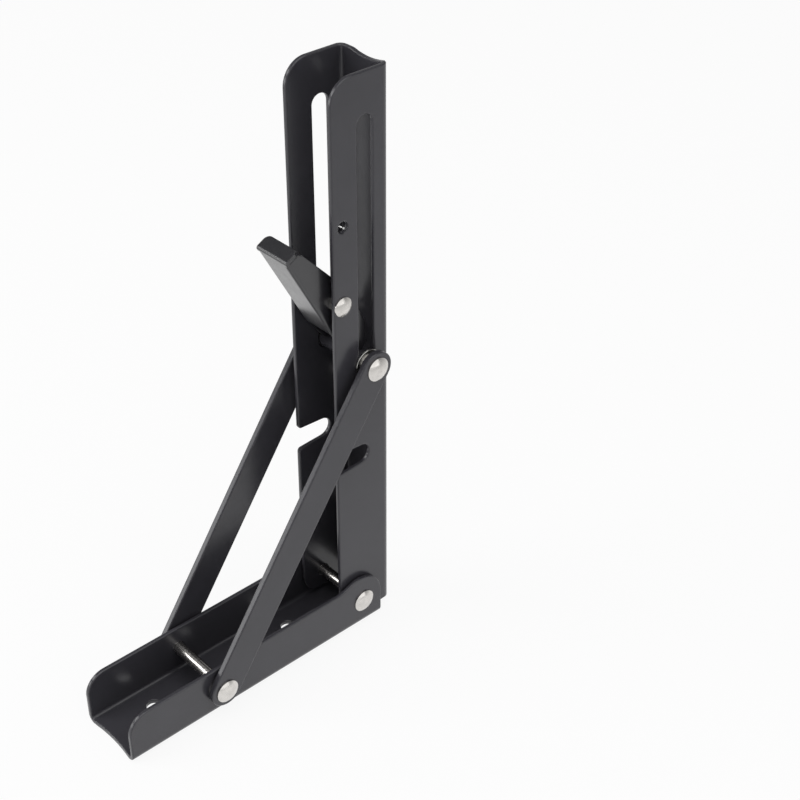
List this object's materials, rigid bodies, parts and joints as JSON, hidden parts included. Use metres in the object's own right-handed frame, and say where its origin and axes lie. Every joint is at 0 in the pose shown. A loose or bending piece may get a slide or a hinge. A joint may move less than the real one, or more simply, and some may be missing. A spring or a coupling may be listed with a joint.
{
  "type": "drop leaf table bracket",
  "caption": "Folding drop leaf bracket: a long slotted channel arm hinged on a short channel base, held upright by side struts, with a spring return release lever.",
  "frame": {"origin": "on the short arm's mounting face, straight below the hinge rivet and half way across the width", "axes": "+X runs along the rivets, the short arm lies towards -Y, the table arm stands along +Z"},
  "size_m": [0.0428, 0.1356, 0.25],
  "materials": {
    "black_coat": "satin black powder coat",
    "lever_coat": "semi-gloss black coat",
    "nickel_rivet": "polished nickel plate",
    "zinc_washer": "zinc plate",
    "spring_steel": "bright spring wire"
  },
  "bodies": {
    "base": {"base_arm": "black_coat", "hinge_rivet": "nickel_rivet", "hinge_washer_right": "zinc_washer", "hinge_washer_left": "zinc_washer", "strut_rivet": "nickel_rivet", "strut_washer_right": "zinc_washer", "strut_washer_left": "zinc_washer"},
    "arm": {"table_arm": "black_coat", "lever_rivet": "nickel_rivet", "lever_spacer_right": "zinc_washer", "lever_spacer_left": "zinc_washer", "lever_spring": "spring_steel"},
    "struts": {"strut_right": "black_coat", "strut_left": "black_coat", "slide_head_right": "nickel_rivet", "slide_head_left": "nickel_rivet"},
    "slide": {"slide_rivet": "black_coat", "slide_bush_right": "zinc_washer", "slide_bush_left": "zinc_washer"},
    "lever": {"release_lever": "lever_coat"}
  },
  "joints": [
    {"name": "fold", "type": "hinge", "parent": "base", "child": "arm", "pos_m": [0, 0, 0.0125], "axis": [1, 0, 0], "range_deg": [0, 90]},
    {"name": "strut_swing", "type": "hinge", "parent": "base", "child": "struts", "pos_m": [0, -0.075, 0.0125], "axis": [1, 0, 0], "range_deg": [0, 122.3]},
    {"name": "slide_run", "type": "slide", "parent": "arm", "child": "slide", "axis": [0, 0, 1], "range_m": [0, 0.0998]},
    {"name": "lever_press", "type": "hinge", "parent": "arm", "child": "lever", "pos_m": [0, -0.0062, 0.16], "axis": [-1, 0, 0], "range_deg": [0, 24], "stiffness_Nm_per_rad": 0.05, "springref_deg": -28.65, "deforming": ["lever_spring"]}
  ],
  "couplings": [
    {"joint": "strut_swing", "follows": "fold", "ratio": 1.3579},
    {"joint": "slide_run", "follows": "fold", "m_per_rad": 0.063517}
  ]
}
